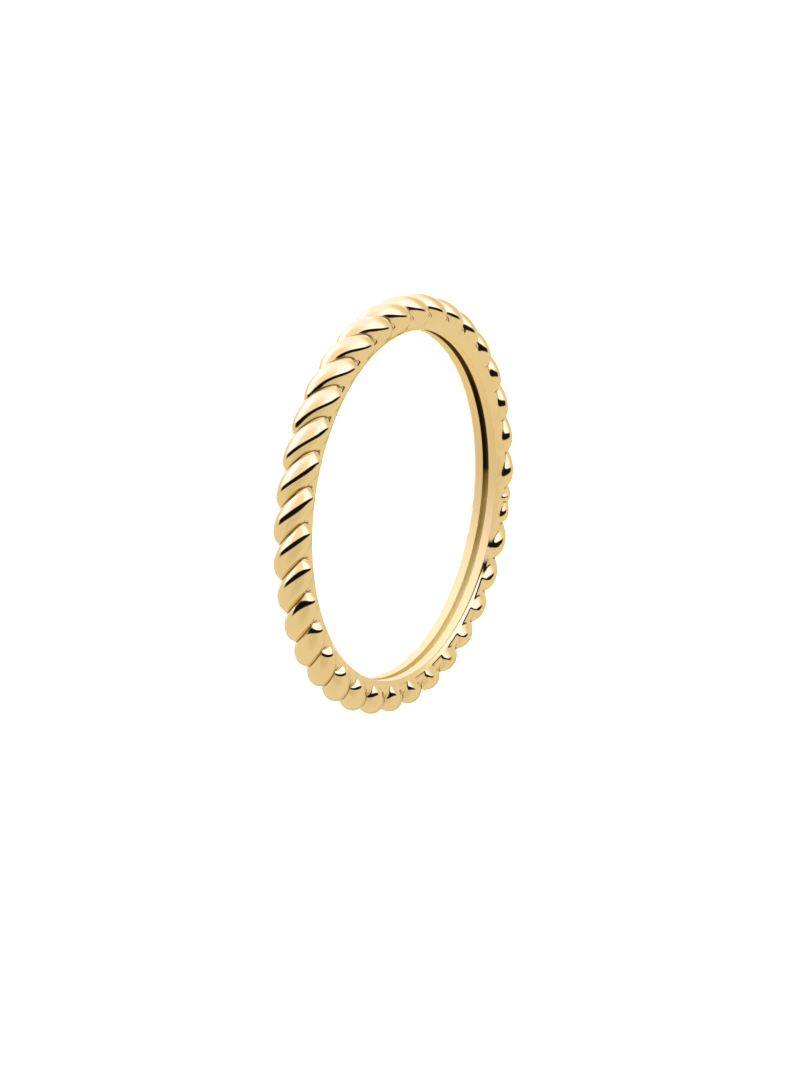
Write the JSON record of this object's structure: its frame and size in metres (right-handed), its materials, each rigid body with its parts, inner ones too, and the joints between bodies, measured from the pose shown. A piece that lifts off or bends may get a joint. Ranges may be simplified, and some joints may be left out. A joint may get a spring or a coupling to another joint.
{
  "type": "rope twist ring",
  "caption": "Plain finger ring shaped like a twisted rope, with smooth inner rails and a narrow channel between them; worn on a finger.",
  "frame": {"origin": "on the ring's axis, on the surface that the ring rests on when it lies on its side", "axes": "+Z along the ring's axis, up from the surface it lies on and out of the side the picture looks into; +X is the picture's downward direction across the band, +Y from the near part of the band to the far part"},
  "size_m": [0.0208, 0.0208, 0.0019],
  "materials": {
    "gold": "polished"
  },
  "bodies": {
    "root": {"rope_band": "gold"}
  },
  "joints": []
}
